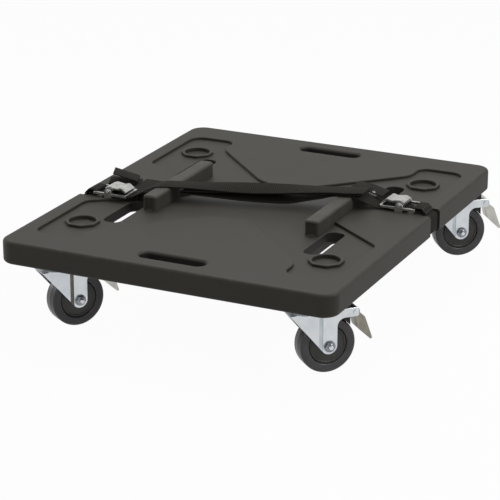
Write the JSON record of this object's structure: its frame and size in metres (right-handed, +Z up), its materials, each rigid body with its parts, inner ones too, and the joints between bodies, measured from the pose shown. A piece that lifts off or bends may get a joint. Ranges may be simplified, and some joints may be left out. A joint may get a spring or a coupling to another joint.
{
  "type": "caster board",
  "caption": "Moulded rectangular platform on braked swivel casters, with foot sockets, hand slots, strap rails and a cam-buckle tie-down strap, for carrying a stacked case.",
  "frame": {"origin": "on the floor, under the middle of the board", "axes": "+X across the board to the right, +Y along its length to the rear, +Z up"},
  "size_m": [0.6579, 0.7897, 0.2029],
  "materials": {
    "moulded_polyethylene": "fine moulded grain",
    "webbing": "ribbed woven",
    "zinc_plated_steel": "bright zinc plate",
    "ball_steel": "polished",
    "insert_brass": "turned",
    "cast_zinc": "tumbled plating",
    "hub_plastic": "moulded",
    "tyre_rubber": "smooth",
    "brake_steel": "satin",
    "brake_rubber": "matte"
  },
  "bodies": {
    "board": {"deck": "moulded_polyethylene", "foot_cups": "moulded_polyethylene", "rails": "moulded_polyethylene", "king_pins": "zinc_plated_steel", "caster_bolts": "zinc_plated_steel", "caster_inserts": "insert_brass", "anchor_straps": "webbing", "main_strap": "webbing", "strap_tails": "webbing", "anchor_screws": "zinc_plated_steel", "left_buckle_frame": "cast_zinc", "right_buckle_frame": "cast_zinc", "buckle_pins": "zinc_plated_steel", "front_left_top_plate": "zinc_plated_steel", "front_right_top_plate": "zinc_plated_steel", "rear_left_top_plate": "zinc_plated_steel", "rear_right_top_plate": "zinc_plated_steel"},
    "front_left_swivel": {"front_left_fork": "zinc_plated_steel", "front_left_swivel_balls": "ball_steel", "front_left_axle_bolt": "zinc_plated_steel", "front_left_axle_nut": "zinc_plated_steel", "front_left_axle_sleeve": "zinc_plated_steel", "front_left_brake_pin": "zinc_plated_steel"},
    "front_left_wheel": {"front_left_wheel_core": "hub_plastic", "front_left_tyre": "tyre_rubber"},
    "front_left_pedal": {"front_left_brake_pedal": "brake_steel"},
    "front_left_shoe": {"front_left_brake_shoe": "brake_rubber"},
    "front_right_swivel": {"front_right_fork": "zinc_plated_steel", "front_right_swivel_balls": "ball_steel", "front_right_axle_bolt": "zinc_plated_steel", "front_right_axle_nut": "zinc_plated_steel", "front_right_axle_sleeve": "zinc_plated_steel", "front_right_brake_pin": "zinc_plated_steel"},
    "front_right_wheel": {"front_right_wheel_core": "hub_plastic", "front_right_tyre": "tyre_rubber"},
    "front_right_pedal": {"front_right_brake_pedal": "brake_steel"},
    "front_right_shoe": {"front_right_brake_shoe": "brake_rubber"},
    "rear_left_swivel": {"rear_left_fork": "zinc_plated_steel", "rear_left_swivel_balls": "ball_steel", "rear_left_axle_bolt": "zinc_plated_steel", "rear_left_axle_nut": "zinc_plated_steel", "rear_left_axle_sleeve": "zinc_plated_steel", "rear_left_brake_pin": "zinc_plated_steel"},
    "rear_left_wheel": {"rear_left_wheel_core": "hub_plastic", "rear_left_tyre": "tyre_rubber"},
    "rear_left_pedal": {"rear_left_brake_pedal": "brake_steel"},
    "rear_left_shoe": {"rear_left_brake_shoe": "brake_rubber"},
    "rear_right_swivel": {"rear_right_fork": "zinc_plated_steel", "rear_right_swivel_balls": "ball_steel", "rear_right_axle_bolt": "zinc_plated_steel", "rear_right_axle_nut": "zinc_plated_steel", "rear_right_axle_sleeve": "zinc_plated_steel", "rear_right_brake_pin": "zinc_plated_steel"},
    "rear_right_wheel": {"rear_right_wheel_core": "hub_plastic", "rear_right_tyre": "tyre_rubber"},
    "rear_right_pedal": {"rear_right_brake_pedal": "brake_steel"},
    "rear_right_shoe": {"rear_right_brake_shoe": "brake_rubber"},
    "left_lever": {"left_buckle_lever": "cast_zinc"},
    "right_lever": {"right_buckle_lever": "cast_zinc"}
  },
  "joints": [
    {"name": "front_left_swivel_turn", "type": "hinge", "parent": "board", "child": "front_left_swivel", "pos_m": [-0.241, -0.321, 0.11], "axis": [0, 0, 1], "continuous": true},
    {"name": "front_left_wheel_spin", "type": "hinge", "parent": "front_left_swivel", "child": "front_left_wheel", "pos_m": [-0.22087, -0.29115, 0.05], "axis": [-0.829, 0.5592, 0], "continuous": true},
    {"name": "front_left_pedal_lift", "type": "hinge", "parent": "front_left_swivel", "child": "front_left_pedal", "pos_m": [-0.19403, -0.25136, 0.105], "axis": [0.829, -0.5592, 0], "range_deg": [0, 30]},
    {"name": "front_left_shoe_slide", "type": "slide", "parent": "front_left_swivel", "child": "front_left_shoe", "axis": [0, 0, 1], "range_m": [0, 0.004]},
    {"name": "front_right_swivel_turn", "type": "hinge", "parent": "board", "child": "front_right_swivel", "pos_m": [0.241, -0.321, 0.11], "axis": [0, 0, 1], "continuous": true},
    {"name": "front_right_wheel_spin", "type": "hinge", "parent": "front_right_swivel", "child": "front_right_wheel", "pos_m": [0.26578, -0.29489, 0.05], "axis": [-0.7254, 0.6884, 0], "continuous": true},
    {"name": "front_right_pedal_lift", "type": "hinge", "parent": "front_right_swivel", "child": "front_right_pedal", "pos_m": [0.29882, -0.26007, 0.105], "axis": [0.7254, -0.6884, 0], "range_deg": [0, 30]},
    {"name": "front_right_shoe_slide", "type": "slide", "parent": "front_right_swivel", "child": "front_right_shoe", "axis": [0, 0, 1], "range_m": [0, 0.004]},
    {"name": "rear_left_swivel_turn", "type": "hinge", "parent": "board", "child": "rear_left_swivel", "pos_m": [-0.241, 0.321, 0.11], "axis": [0, 0, 1], "continuous": true},
    {"name": "rear_left_wheel_spin", "type": "hinge", "parent": "rear_left_swivel", "child": "rear_left_wheel", "pos_m": [-0.20762, 0.33449, 0.05], "axis": [-0.3746, 0.9272, 0], "continuous": true},
    {"name": "rear_left_pedal_lift", "type": "hinge", "parent": "rear_left_swivel", "child": "rear_left_pedal", "pos_m": [-0.16312, 0.35247, 0.105], "axis": [0.3746, -0.9272, 0], "range_deg": [0, 30]},
    {"name": "rear_left_shoe_slide", "type": "slide", "parent": "rear_left_swivel", "child": "rear_left_shoe", "axis": [0, 0, 1], "range_m": [0, 0.004]},
    {"name": "rear_right_swivel_turn", "type": "hinge", "parent": "board", "child": "rear_right_swivel", "pos_m": [0.241, 0.321, 0.11], "axis": [0, 0, 1], "continuous": true},
    {"name": "rear_right_wheel_spin", "type": "hinge", "parent": "rear_right_swivel", "child": "rear_right_wheel", "pos_m": [0.26878, 0.3439, 0.05], "axis": [-0.6361, 0.7716, 0], "continuous": true},
    {"name": "rear_right_pedal_lift", "type": "hinge", "parent": "rear_right_swivel", "child": "rear_right_pedal", "pos_m": [0.30582, 0.37443, 0.105], "axis": [0.6361, -0.7716, 0], "range_deg": [0, 30]},
    {"name": "rear_right_shoe_slide", "type": "slide", "parent": "rear_right_swivel", "child": "rear_right_shoe", "axis": [0, 0, 1], "range_m": [0, 0.004]},
    {"name": "left_lever_lift", "type": "hinge", "parent": "board", "child": "left_lever", "pos_m": [-0.257, -0.078, 0.184], "axis": [0, -1, 0], "range_deg": [0, 55]},
    {"name": "right_lever_lift", "type": "hinge", "parent": "board", "child": "right_lever", "pos_m": [0.257, 0.078, 0.184], "axis": [0, 1, 0], "range_deg": [0, 55]}
  ],
  "couplings": [
    {"joint": "front_left_shoe_slide", "follows": "front_left_pedal_lift", "m_per_rad": 0.0076},
    {"joint": "front_right_shoe_slide", "follows": "front_right_pedal_lift", "m_per_rad": 0.0076},
    {"joint": "rear_left_shoe_slide", "follows": "rear_left_pedal_lift", "m_per_rad": 0.0076},
    {"joint": "rear_right_shoe_slide", "follows": "rear_right_pedal_lift", "m_per_rad": 0.0076}
  ]
}
